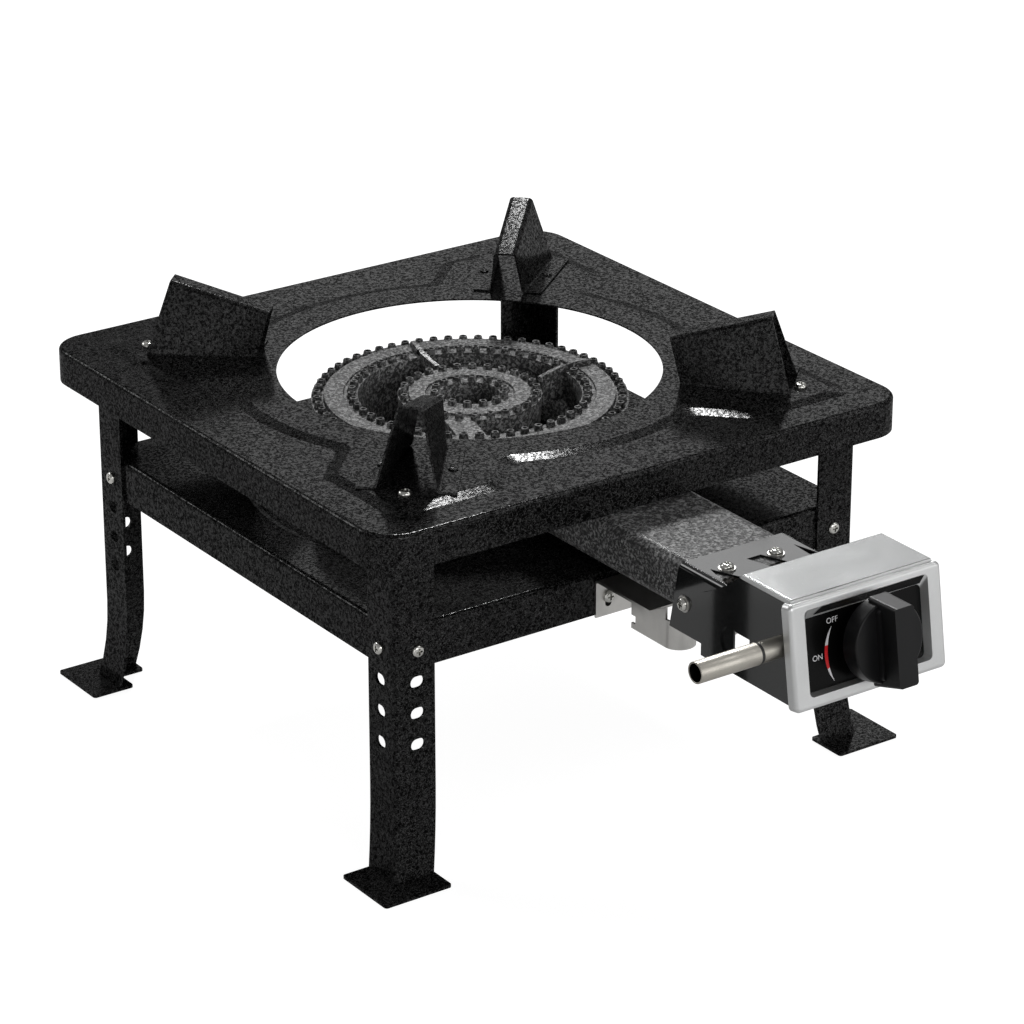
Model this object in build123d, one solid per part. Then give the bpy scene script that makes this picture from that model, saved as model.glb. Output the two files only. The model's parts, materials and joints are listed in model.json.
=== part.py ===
from build123d import *
import math
import os

# Single-burner gas range on four legs. Millimetres. X runs along the front edge, -Y is the
# control side, Z is up. The origin lies on the floor, under the burner's centre.

# Top plate
plate_side = 380.0
plate_height = 229.0        # floor to the plate's outer border
plate_sheet = 1.0
skirt_depth = 22.0
plate_corner_radius = 23.0
plate_edge_roll = 2.5
opening_radius = 118.2
ring_land = 33.3            # opening edge to the foot of the raised ring's step
ring_rise = 1.5
step_run = 8.0              # width of the slope round the raised ring
lobe_margin = 23.7          # plate edge to the foot of a corner lobe
lobe_half_width = 52.0
lobe_round = 10.0
plate_screw_margin = 46.5   # plate edge to a corner screw

# Pot supports, folded channels on the diagonals
support_sheet = 1.2
support_setback = 13.5      # opening edge to the foot of the inner end
support_screw_gap = 3.6     # outer end's foot to the corner screw's axis
support_inner_height = 29.1
support_outer_height = 46.3
support_inner_lean = 7.8
support_outer_lean = 14.0
support_top_width = 14.2
support_inner_foot_width = 21.6
support_outer_foot_width = 37.0
support_flange = 11.1
support_crown_round = 3.0
support_foot_round = 1.5
rivet_radius = 1.6
rivet_head_radius = 3.2
rivet_head_height = 1.5
rivet_tail_height = 1.2

# Legs
leg_inset = 22.15           # plate edge to the leg's outer face
leg_width = 27.5
leg_sheet = 1.8
leg_bend_radius = 3.0
leg_flare = 5.55
leg_flare_height = 54.0
leg_hole_line = 15.5        # outer corner to the line of holes
leg_screw_drop = 14.6       # tray top to the legs' screws
leg_slot_pitch = 19.9
leg_slot_count = 3
leg_slot_length = 9.5
leg_slot_height = 7.5
tab_reach = 38.0
tab_width = 27.0
tab_bend_radius = 2.5
tab_ear_height = 13.0
foot_overhang = 23.4
foot_inner_reach = 22.8
foot_depth = 28.8
foot_corner_round = 2.0

# Tray
tray_top = 159.1
tray_depth = 26.8
tray_sheet = 1.0
tray_corner_radius = 6.0
tray_edge_roll = 3.0
tray_dish_radius = 140.0
tray_dish_depth = 1.2
tray_dish_slope = 4.0

# Burner head
head_radius = 97.5
rim_rise = 17.3             # from the head's joint face up to its outer rim
lip_rise = 18.7
land_rise = 19.9
outer_ledge_width = 7.5
outer_land_width = 12.7
inner_ledge_width = 8.4
channel_width = 24.5
core_ledge_width = 6.4
core_land_width = 11.0
core_inner_ledge_width = 8.8
port_boss_radius = 3.1
port_boss_height = 3.2
port_pitch = 9.5
port_ledge_inset = 3.6      # ledge edge to the centre line of its row
fin_sheet = 3.0
fin_rise = 4.4              # how far a fin's crest stands over the lip
fin_root_inset = 8.0        # rim to the fin's outer end
fin_reach = 18.5            # from the channel's outer wall to the fin's tip
fin_bow = 2.2
fin_angles = (-1.5, 80.5)
bridge_inner_angle = 226.5
bridge_outer_angle = 236.5
bridge_width = 17.0

# Mixing chamber and its twin tube, one casting
burner_foot_height = 15.1   # dish of the tray to the mixing chamber's underside
mixer_height = 21.0
mixer_wall = 4.0
tube_half_width = 36.4
tube_height = 30.0
tube_round = 7.0
tube_reach = 101.0          # plate edge to the tube's front end
tube_shoulder_gap = 3.0
mixing_bore_radius = 11.0
mixing_bore_offset = 17.0
mixing_bore_inset = 9.5     # rim to the inner end of the bores
burner_foot_radius = 8.0
burner_foot_inset = 14.5    # rim to the feet's circle
burner_foot_count = 4
burner_bolt_radius = 3.0
burner_bolt_grip = 11.0
bolt_head_flats = 10.0
bolt_head_height = 4.0
tube_foot_reach = 29.95     # tray wall to the tube's foot
tube_foot_radius = 9.0
tube_foot_height = 17.5

# Tube bracket on the tray's front wall
bracket_sheet = 1.5
bracket_half_width = 26.0
bracket_wall_depth = 28.1   # tray top to the bracket's lower edge
bracket_shelf_reach = 53.35
bracket_cheek_setback = 35.95
bracket_cheek_reach = 68.45
bracket_cheek_depth = 17.5
bracket_ear_rise = 7.5
bracket_curl_radius = 10.0
bracket_slot_offset = 17.0
bracket_slot_lag = 1.5
bracket_slot_length = 10.5
bracket_slot_width = 4.6
bracket_screw_drop = 15.9   # tray top to the bracket's screws

# Tube cover, a folded channel over the tube's front end
cover_sheet = 1.2
cover_lap_top = 28.0        # how far the cover reaches back over the tube
cover_lap_bottom = 37.5
cover_depth = 42.1
cover_overhang = 21.0
cover_fold_radius = 3.5
cover_screw_inset = 7.0
cover_screw_offsets = (-21.3, 13.6)
vent_inset = 11.5           # tube front to the vents' rear edge
vent_length = 22.0
vent_rear_places = (-29.6, -4.0, 30.2)
vent_rear_widths = (0.4, 10.2, 0.4)
vent_front_places = (-34.9, 2.9, 28.6)
vent_front_widths = (15.0, 12.2, 7.0)
side_screw_inset = 23.9
side_screw_drop = 23.5

# Valve housing, an open-bottomed folded box
housing_sheet = 1.2
housing_right = 59.5
housing_lap = 6.7           # how far the housing reaches back over the tube
housing_depth = 31.0        # bezel middle to the open bottom
housing_shoulder_rise = 7.6
housing_crest_reach = 26.3
housing_crest_rise = 28.8
housing_slope_sag = 1.6
sight_hole_radius = 9.5
sight_hole_reach = 20.0
sight_hole_drop = 13.5
sight_slot_reach = 36.5
sight_slot_drop = 5.1
sight_slot_height = 15.9

# Bezel, a cast frame with a hood, leaning back by the face angle
face_angle = 9.0
face_reach = 79.9           # tube front to the bezel's face
face_drop = 1.0             # mixing bores down to the bezel's middle
bezel_overhang = 4.4
bezel_height = 62.0
bezel_depth = 7.0
bezel_round = 2.5
rim_side_width = 10.0
rim_top_width = 5.0
rim_bottom_width = 7.0
window_depth = 5.0
bevel_side_width = 1.9
bevel_top_width = 6.5
bevel_bottom_width = 1.0
hood_overhang = 0.5
hood_reach = 29.0           # tube front to the hood's rear edge
hood_rise = 32.0
hood_sheet = 3.0
dial_sheet = 1.5
dial_margin = 1.8

# Knob
knob_offset = 1.95          # bezel middle to the knob's axis
knob_radius = 23.6
knob_skirt_draft = 1.6
knob_back = 4.6
knob_face = 15.0
knob_front = 29.5
grip_width = 14.3
grip_length = 45.8
grip_draft = 3.0
grip_foot_width = 18.0
grip_foot_height = 3.0
hub_radius = 9.5
hub_back = 1.6
stem_front = 23.0           # the stem's seat inside the grip
knob_travel = 3.0

# Valve, along the knob's axis
valve_radius = 14.0
neck_radius = 6.0
stem_radius = 4.0
plug_radius = 7.0
plug_length = 20.0
valve_wall = 1.5
tongue_width = 3.0
tongue_height = 6.4
tongue_length = 8.5
stem_collar_radius = 6.0
stem_collar_length = 1.5
spring_wire = 0.9
spring_radius = 5.2
spring_length = 3.4
spring_turns = 2
nut_flats = 18.0
nut_height = 2.4
manifold_width = 56.0
manifold_depth = 14.0
manifold_reach = 27.0       # tube front to the manifold
jet_length = 13.0
jet_flats = 9.0
jet_bore_radius = 0.8

# Gas inlet
inlet_setback = 15.9        # bezel face back to the inlet's axis
inlet_rise = 0.9
inlet_reach = 59.1          # housing wall to the open end
inlet_radius = 6.3
inlet_neck_radius = 5.5
inlet_bore_radius = 4.0
inlet_shoulder = 15.6
inlet_seal_width = 2.0
inlet_seal_radius = 6.1
inlet_boss_radius = 6.85
inlet_boss_inset = 12.0
inlet_engagement = 12.0

# Small screws
screw_radius = 2.0
screw_head_radius = 4.0
screw_head_height = 2.6
screw_nut_flats = 7.0
screw_nut_height = 3.2
washer_radius = 5.0
washer_sheet = 0.8
bezel_screw_radius = 1.25
bezel_screw_head_radius = 2.2
bezel_screw_reach = 4.5

# Clearances
running_gap = 0.05
hole_gap = 0.2
fold_gap = 0.2
slip_gap = 0.5

# Places worked out from the sizes above
plate_half = plate_side / 2
plate_under = plate_height - plate_sheet
ring_top = plate_height + ring_rise
ring_under = ring_top - plate_sheet
ring_radius = opening_radius + ring_land
lobe_reach = plate_half - lobe_margin
plate_screw_place = plate_half - plate_screw_margin
support_inner = opening_radius + support_setback
support_outer = plate_screw_place * math.sqrt(2) - support_screw_gap
leg_outer = plate_half - leg_inset
leg_inner = leg_outer - leg_sheet
leg_hole_place = leg_outer - leg_hole_line
burner_seat = tray_top - tray_dish_depth
burner_seat_under = burner_seat - tray_sheet
leg_screw_height = tray_top - leg_screw_drop
mixer_base = burner_seat + burner_foot_height
head_base = mixer_base + mixer_height
rim_height = head_base + rim_rise
lip_height = head_base + lip_rise
land_height = head_base + land_rise
outer_land_outer_radius = head_radius - outer_ledge_width
outer_land_inner_radius = outer_land_outer_radius - outer_land_width
channel_outer_radius = outer_land_inner_radius - inner_ledge_width
channel_inner_radius = channel_outer_radius - channel_width
core_land_outer_radius = channel_inner_radius - core_ledge_width
core_land_inner_radius = core_land_outer_radius - core_land_width
core_hole_radius = core_land_inner_radius - core_inner_ledge_width
burner_foot_circle = head_radius - burner_foot_inset
mixing_bore_end = head_radius - mixing_bore_inset
tube_top = mixer_base + tube_height
tube_front = plate_half + tube_reach
bore_height = mixer_base + tube_height / 2
tube_foot_distance = leg_inner + tube_foot_reach
bracket_shelf = mixer_base - tube_foot_height
bracket_base = tray_top - bracket_wall_depth
bracket_shelf_front = leg_inner + bracket_shelf_reach
bracket_cheek_rear = leg_inner + bracket_cheek_setback
bracket_cheek_front = leg_inner + bracket_cheek_reach
bracket_cheek_base = bracket_shelf - bracket_cheek_depth
bracket_ear_top = bracket_shelf + bracket_ear_rise
bracket_screw_height = tray_top - bracket_screw_drop
bracket_slot_height = bracket_screw_height - bracket_slot_lag
cover_inner = tube_half_width + fold_gap
cover_outer = cover_inner + cover_sheet
cover_under = tube_top + fold_gap
cover_top = cover_under + cover_sheet
cover_base = cover_top - cover_depth
cover_rear_top = tube_front - cover_lap_top
cover_rear_bottom = tube_front - cover_lap_bottom
cover_front = tube_front + cover_overhang
cover_screw_distance = tube_front - cover_screw_inset
cover_vent_rear = tube_front - vent_inset
side_screw_distance = tube_front - side_screw_inset
side_screw_height = cover_top - side_screw_drop
face_distance = tube_front + face_reach
face_height = bore_height - face_drop
housing_left = cover_outer + housing_sheet
housing_rear = tube_front - housing_lap
housing_base = face_height - housing_depth
housing_shoulder = face_height + housing_shoulder_rise
housing_crest = face_height + housing_crest_rise
housing_crest_distance = tube_front + housing_crest_reach
sight_hole_distance = tube_front + sight_hole_reach
sight_hole_height = face_height - sight_hole_drop
sight_slot_front = tube_front + sight_slot_reach
sight_slot_top = face_height - sight_slot_drop
sight_slot_base = sight_slot_top - sight_slot_height
bezel_center = (housing_right - housing_left) / 2
bezel_width = housing_left + housing_right + 2 * bezel_overhang
window_width = bezel_width - 2 * rim_side_width
window_top = bezel_height / 2 - rim_top_width
window_bottom = rim_bottom_width - bezel_height / 2
dial_width = window_width - 2 * bevel_side_width
dial_top = window_top - bevel_top_width
dial_bottom = window_bottom + bevel_bottom_width
hood_left = housing_left + hood_overhang
hood_right = housing_right + hood_overhang
hood_rear = tube_front + hood_reach
hood_top = face_height + hood_rise
knob_center = bezel_center + knob_offset
valve_shoulder = -bezel_depth - slip_gap / 2 - housing_sheet
chamber_length = slip_gap + knob_travel + spring_length + stem_collar_length + 3 * running_gap
plug_front = valve_shoulder - valve_wall - chamber_length
neck_front = nut_height + slip_gap / 2 - window_depth
manifold_rear = tube_front + manifold_reach
inlet_distance = face_distance - inlet_setback
inlet_height = bore_height + inlet_rise
inlet_end = housing_left + inlet_reach
inlet_step = housing_left + inlet_shoulder
inlet_boss_end = housing_left - inlet_boss_inset
corner_signs = [(1, 1), (-1, 1), (-1, -1), (1, -1)]
quarter_turns = [0, 90, 180, 270]

# The face frame: x along the bezel, y up its leaning front, z outwards from the front
face_normal = (0, -math.cos(math.radians(face_angle)), math.sin(math.radians(face_angle)))
face_plane = Plane(origin=(0, -face_distance, face_height), x_dir=(1, 0, 0), z_dir=face_normal)


def rivet_place(side):
    """Distance along the diagonal and offset across it of a support's rivet."""
    middle = (support_inner + support_outer) / 2
    foot = (support_inner_foot_width + support_outer_foot_width) / 4
    return middle, side * (foot + support_flange / 2 + support_foot_round / 2)


def sheet_face(points, radii, sheet):
    """The cut end of a folded sheet: its outer side follows the points, its wall lies left."""
    outer = FilletPolyline(*points, radius=radii)
    return make_face(offset(outer, amount=sheet, side=Side.LEFT))


def pan_screw(shank_radius, head_radius, head_height, reach):
    """A domed screw, its seat at z = 0 and its shank downwards."""
    return revolved_ring(
        [
            (0, head_height),
            (head_radius * 0.55, head_height),
            (head_radius * 0.9, head_height * 0.7),
            (head_radius, head_height * 0.35),
            (head_radius, 0),
            (shank_radius, 0),
            (shank_radius, -reach),
            (0, -reach),
        ]
    )


def hex_nut(flats, height, bore):
    """A hexagon nut that stands on z = 0."""
    return extrude(RegularPolygon(flats / 2, 6, major_radius=False) - Circle(bore), height)


def upright_cylinder(radius, low, high):
    return Pos(0, 0, low) * extrude(Circle(radius), high - low)


def pressed_pan(side, corner, roll, sheet, top, depth):
    """A square pan with its mouth down: a flat top, rolled edges and turned-down walls."""
    outside = Pos(0, 0, top - depth) * extrude(RectangleRounded(side, side, corner), depth)
    outside = fillet(outside.faces().sort_by(Axis.Z)[-1].edges(), roll)
    clear = side - 2 * sheet
    inside = Pos(0, 0, top - depth) * extrude(RectangleRounded(clear, clear, corner - sheet), depth - sheet)
    inside = fillet(inside.faces().sort_by(Axis.Z)[-1].edges(), roll - sheet)
    return outside - inside


def ring_outline(inset):
    """The raised ring with its four corner lobes, drawn in by the inset."""
    arm = Rectangle(4 * plate_half, 2 * (lobe_half_width - inset))
    lobes = (Rot(0, 0, 45) * arm + Rot(0, 0, 135) * arm) & Rectangle(
        2 * (lobe_reach - inset), 2 * (lobe_reach - inset)
    )
    outline = Circle(ring_radius - inset) + lobes
    return fillet(outline.vertices(), lobe_round)


def raised_ring(base):
    return loft(
        [Pos(0, 0, base) * ring_outline(0), Pos(0, 0, base + ring_rise) * ring_outline(step_run)],
        ruled=True,
    )


def make_top_plate():
    plate = pressed_pan(
        plate_side, plate_corner_radius, plate_edge_roll, plate_sheet, plate_height, skirt_depth
    )
    plate = plate + raised_ring(plate_height) - raised_ring(plate_under)
    plate -= upright_cylinder(opening_radius, plate_under - 1, ring_top + 1)
    hole = upright_cylinder(screw_radius + hole_gap, plate_under - 1, ring_top + 1)
    plate -= [Pos(i * plate_screw_place, j * plate_screw_place) * hole for i, j in corner_signs]
    rivet_hole = upright_cylinder(rivet_radius + running_gap, plate_under - 1, ring_top + 1)
    along, across = rivet_place(1)
    for turn in quarter_turns:
        plate -= [Rot(0, 0, 45 + turn) * Pos(along, side * across) * rivet_hole for side in (-1, 1)]
    return plate


def support_section(foot_place, foot_width, height, lean):
    """One end of a pot support, on the plane that leans inwards over the burner."""
    slant = math.hypot(height, lean)
    foot = foot_width / 2
    crown = support_top_width / 2
    points = [
        (foot + support_flange, support_sheet),
        (foot, support_sheet),
        (crown, slant),
        (-crown, slant),
        (-foot, support_sheet),
        (-foot - support_flange, support_sheet),
    ]
    radii = [support_foot_round, support_crown_round, support_crown_round, support_foot_round]
    plane = Plane(origin=(foot_place, 0, ring_top), x_dir=(0, 1, 0), z_dir=(height, 0, lean))
    return plane * sheet_face(points, radii, support_sheet)


def make_pot_support():
    """A support along +X, its flanges on the raised ring."""
    inner = support_section(
        support_inner, support_inner_foot_width, support_inner_height, support_inner_lean
    )
    outer = support_section(
        support_outer, support_outer_foot_width, support_outer_height, support_outer_lean
    )
    support = loft([inner, outer], ruled=True)
    hole = upright_cylinder(rivet_radius + running_gap, ring_top - 1, ring_top + 5)
    along, across = rivet_place(1)
    return support - [Pos(along, side * across) * hole for side in (-1, 1)]


def make_rivet():
    """A domed rivet through the support's flange and the plate, seated on the flange."""
    grip = support_sheet + plate_sheet
    head = pan_screw(rivet_radius, rivet_head_radius, rivet_head_height, grip)
    tail = Pos(0, 0, -grip - rivet_tail_height) * extrude(Circle(rivet_head_radius * 0.8), rivet_tail_height)
    return head + tail


def corner_section(corner):
    """The leg's angle section with its outer corner at (corner, corner)."""
    points = [(corner - leg_width, corner), (corner, corner), (corner, corner - leg_width)]
    outer = FilletPolyline(*points, radius=leg_bend_radius)
    return make_face(offset(outer, amount=leg_sheet, side=Side.RIGHT))


def leg_spread(height):
    """How far the leg has curved outwards at a height above the floor."""
    return leg_flare * (1 - height / leg_flare_height) ** 2


def make_leg():
    """The leg at the +X +Y corner."""
    leg = Pos(0, 0, leg_flare_height) * extrude(corner_section(leg_outer), plate_under - leg_flare_height)
    steps = 4
    levels = [leg_flare_height * (1 - k / steps) for k in range(steps + 1)]
    leg += loft(
        [Pos(0, 0, level) * corner_section(leg_outer + leg_spread(level)) for level in levels], ruled=True
    )
    far = leg_outer + foot_overhang
    near = leg_outer - foot_inner_reach
    square = far - near
    plate = Pos((far + near) / 2, (far + near) / 2) * Rectangle(square, square)
    notch = far - foot_depth
    plate -= Pos((near + notch) / 2, (near + notch) / 2) * Rectangle(notch - near, notch - near)
    plate = fillet(plate.vertices(), foot_corner_round)
    leg += extrude(plate, leg_sheet)
    # the top tab, joggled up under the plate's lobe
    tab_outer = lobe_reach - step_run - 0.3 * lobe_round
    joggle_foot = leg_outer - tab_bend_radius - leg_sheet - slip_gap
    joggle_top = joggle_foot - step_run
    corner_cut = Pos(tab_outer - tab_width, leg_outer - leg_sheet - 1, plate_under - tab_ear_height) * Box(
        tab_width, leg_sheet + 2, tab_ear_height + 1, align=Align.MIN
    )
    profile = Plane.YZ * sheet_face(
        [
            (leg_outer, plate_under - tab_ear_height),
            (leg_outer, plate_under),
            (joggle_foot, plate_under),
            (joggle_top, ring_under),
            (leg_outer - tab_reach, ring_under),
        ],
        [tab_bend_radius + leg_sheet, leg_sheet, leg_sheet],
        leg_sheet,
    )
    tab = Pos(tab_outer - tab_width) * extrude(profile, tab_width)
    leg = leg - corner_cut + tab
    # holes: one screw and a row of slots on each flange, one screw through the tab
    slot = extrude(
        Plane.XZ * SlotOverall(leg_slot_length, leg_slot_height), 2 * leg_width, both=True
    )
    hole = extrude(Plane.XZ * Circle(screw_radius + hole_gap), 2 * leg_width, both=True)
    cuts = Part() + Pos(leg_hole_place, leg_outer, leg_screw_height) * hole
    for k in range(leg_slot_count):
        cuts += Pos(leg_hole_place, leg_outer, leg_screw_height - (k + 1) * leg_slot_pitch) * slot
    other_cuts = mirror(cuts, Plane(origin=(0, 0, 0), z_dir=(1, -1, 0)))
    leg = leg - cuts - other_cuts
    leg -= Pos(plate_screw_place, plate_screw_place) * upright_cylinder(
        screw_radius + hole_gap, plate_under - leg_sheet - 2, ring_top
    )
    return leg


def make_tray():
    tray = pressed_pan(2 * leg_inner, tray_corner_radius, tray_edge_roll, tray_sheet, tray_top, tray_depth)
    # a shallow dish pressed into the middle
    dish = loft(
        [
            Pos(0, 0, tray_top - tray_dish_depth) * Circle(tray_dish_radius - tray_dish_slope),
            Pos(0, 0, tray_top) * Circle(tray_dish_radius),
        ],
        ruled=True,
    )
    tray = tray + Pos(0, 0, -tray_sheet) * dish - dish
    bolt_hole = extrude(Circle(burner_bolt_radius + hole_gap), 2 * tray_sheet)
    tray -= [place * bolt_hole for place in burner_foot_places(burner_seat_under - slip_gap)]
    # screw holes through the walls: a pair for each leg flange, and two for the bracket
    hole = extrude(Plane.XZ * Circle(screw_radius + hole_gap), tray_sheet + 2)
    for turn in quarter_turns:
        tray -= [
            Rot(0, 0, turn) * Pos(place, leg_inner + 1, leg_screw_height) * hole
            for place in (leg_hole_place, -leg_hole_place)
        ]
    tray -= [
        Pos(side * bracket_slot_offset, -leg_inner + tray_sheet + 1, bracket_screw_height) * hole
        for side in (-1, 1)
    ]
    return tray


def polar(radius, degrees):
    angle = math.radians(degrees)
    return radius * math.cos(angle), radius * math.sin(angle)


def revolved_ring(points):
    """A ring turned from its half section in the radius-height plane."""
    return revolve(Plane.XZ * make_face(Polyline(*points, close=True)), Axis.Z)


def make_fin(angle):
    """A bowed upright wall that runs in from the outer ring and stands over the open channel."""
    outer = head_radius - fin_root_inset
    inner = channel_outer_radius - fin_reach
    middle = (outer + inner) / 2
    path = ThreePointArc((outer, 0), (middle, fin_bow), (inner, 0))
    plan = make_face(offset(path, amount=fin_sheet, side=Side.LEFT))
    crest = lip_height + fin_rise
    side = make_face(
        Polyline(
            (inner - 1, head_base),
            (inner - 1, lip_height),
            (outer_land_inner_radius, crest),
            (outer - fin_sheet, crest),
            (outer + 1, land_height),
            (outer + 1, head_base),
            close=True,
        )
    )
    wall = extrude(Plane.XZ * side, 2 * fin_sheet + fin_bow, both=True)
    return Rot(0, 0, angle) * (wall & Pos(0, 0, head_base) * extrude(plan, crest - head_base))


def make_bridge(low, high, width):
    """The slanting bar that joins the core to the outer ring."""
    inner = polar(channel_inner_radius - slip_gap, bridge_inner_angle)
    outer = polar(channel_outer_radius + slip_gap, bridge_outer_angle)
    run = math.dist(inner, outer)
    lie = math.degrees(math.atan2(outer[1] - inner[1], outer[0] - inner[0]))
    bar = Pos((inner[0] + outer[0]) / 2, (inner[1] + outer[1]) / 2, low) * Rot(0, 0, lie)
    return bar * extrude(Rectangle(run + width / 2, width), high - low)


def port_row(radius, height, skip_angles=(), skip_half=0.0):
    """One row of tapered port bosses on a ledge."""
    count = round(2 * math.pi * radius / port_pitch)
    boss = extrude(RegularPolygon(port_boss_radius, 8), port_boss_height + slip_gap, taper=10)
    row = []
    for k in range(count):
        angle = 360 * k / count
        near = [abs((angle - skip + 180) % 360 - 180) for skip in skip_angles]
        if not near or min(near) > skip_half:
            row.append(Rot(0, 0, angle) * Pos(radius, 0, height - slip_gap) * boss)
    return row


def make_burner_head():
    """The port casting: an outer and an inner ring, joined by a bridge, with two fins."""
    draft = slip_gap
    outer_ring = revolved_ring(
        [
            (channel_outer_radius + 2 * draft, head_base),
            (channel_outer_radius, lip_height),
            (outer_land_inner_radius, lip_height),
            (outer_land_inner_radius + draft, land_height),
            (outer_land_outer_radius - draft, land_height),
            (outer_land_outer_radius, rim_height),
            (head_radius, rim_height),
            (head_radius - 3 * draft, head_base),
        ]
    )
    core = revolved_ring(
        [
            (core_hole_radius, head_base),
            (core_hole_radius, lip_height),
            (core_land_inner_radius, lip_height),
            (core_land_inner_radius + draft, land_height),
            (core_land_outer_radius - draft, land_height),
            (core_land_outer_radius, lip_height),
            (channel_inner_radius, lip_height),
            (channel_inner_radius - 2 * draft, head_base),
        ]
    )
    head = outer_ring + core + make_bridge(head_base, lip_height, bridge_width)
    head += [make_fin(angle) for angle in fin_angles]
    bosses = port_row(head_radius - port_ledge_inset, rim_height)
    bosses += port_row(channel_outer_radius + port_ledge_inset, lip_height, fin_angles, 5)
    bosses += port_row(channel_inner_radius - core_ledge_width / 2, lip_height)
    bosses += port_row(core_hole_radius + port_ledge_inset, lip_height)
    return head + bosses


def burner_foot_places(height):
    turn = 360 / burner_foot_count
    return [Rot(0, 0, (k + 0.5) * turn) * Pos(burner_foot_circle, 0, height) for k in range(burner_foot_count)]


def make_mixer():
    """The lower casting: ring chamber, hub, passages, feet and the twin mixing tube."""
    chamber_outer = head_radius - 3 * slip_gap
    chamber_inner = channel_outer_radius + 2 * slip_gap
    hub_radius_outer = channel_inner_radius - 2 * slip_gap
    chamber = revolved_ring(
        [
            (chamber_inner, mixer_base),
            (chamber_inner, head_base),
            (chamber_outer, head_base),
            (chamber_outer, mixer_base + mixer_wall),
            (chamber_outer - mixer_wall, mixer_base),
        ]
    )
    hub = revolved_ring(
        [
            (core_hole_radius, mixer_base + mixer_wall),
            (core_hole_radius, head_base),
            (hub_radius_outer, head_base),
            (hub_radius_outer, mixer_base + mixer_wall),
        ]
    )
    mixer = chamber + hub
    mixer += make_bridge(mixer_base + mixer_wall, head_base, bridge_width)
    # the tube: full height outside the head, lower where it runs in under it
    middle = (tube_top + mixer_base) / 2
    shoulder = head_radius + tube_shoulder_gap
    section = Plane(origin=(0, -tube_front, middle), x_dir=(1, 0, 0), z_dir=(0, 1, 0)) * RectangleRounded(
        2 * tube_half_width, tube_top - mixer_base, tube_round
    )
    tube = extrude(section, tube_front - chamber_outer + 2 * mixer_wall)
    tube -= Pos(-tube_half_width - 1, -shoulder, head_base) * Box(
        2 * tube_half_width + 2, shoulder, tube_top, align=Align.MIN
    )
    tube -= upright_cylinder(chamber_outer - mixer_wall, mixer_base - 1, tube_top + 1)
    mixer += tube
    for side in (-1, 1):
        bore = Plane(origin=(side * mixing_bore_offset, -tube_front, middle), z_dir=(0, 1, 0)) * Circle(
            mixing_bore_radius
        )
        mixer -= extrude(bore, tube_front - mixing_bore_end)
    # gas channels, open towards the head above
    floor = mixer_base + mixer_wall
    for inner, outer in (
        (chamber_inner + mixer_wall, chamber_outer - mixer_wall),
        (core_hole_radius + mixer_wall, hub_radius_outer - mixer_wall),
    ):
        mixer -= Pos(0, 0, floor + mixer_wall) * extrude(Circle(outer) - Circle(inner), head_base - floor)
    mixer -= make_bridge(floor + mixer_wall, head_base + 1, bridge_width - 2 * mixer_wall)
    # feet down to the tray, drilled for their bolts, and the tube's foot on its bracket
    foot_length = mixer_base - burner_seat
    for place in burner_foot_places(burner_seat):
        mixer += place * extrude(Circle(burner_foot_radius), foot_length + mixer_wall / 2)
        mixer -= place * extrude(Circle(burner_bolt_radius + running_gap), burner_bolt_grip)
    shelf_top = bracket_shelf
    mixer += Pos(0, -tube_foot_distance, shelf_top) * extrude(
        Circle(tube_foot_radius), mixer_base - shelf_top + mixer_wall
    )
    mixer -= Pos(0, -tube_foot_distance, shelf_top) * extrude(
        Circle(screw_radius + running_gap), mixer_base - shelf_top
    )
    # tapped holes for the cover's screws
    for offset_x in cover_screw_offsets:
        mixer -= Pos(offset_x, -cover_screw_distance) * upright_cylinder(
            screw_radius + running_gap, tube_top - mixer_wall, tube_top + 1
        )
    side_hole = Plane(origin=(0, -side_screw_distance, side_screw_height), z_dir=(1, 0, 0)) * Circle(
        screw_radius + running_gap
    )
    mixer -= Pos(tube_half_width - mixer_wall) * extrude(side_hole, mixer_wall + 1)
    mixer -= Pos(-tube_half_width - 1) * extrude(side_hole, mixer_wall + 1)
    return mixer


def hex_bolt(reach):
    """A hexagon bolt, head downwards from z = 0, shank upwards."""
    head = Pos(0, 0, -bolt_head_height) * extrude(
        RegularPolygon(bolt_head_flats / 2, 6, major_radius=False), bolt_head_height
    )
    return head + extrude(Circle(burner_bolt_radius), reach)


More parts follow.
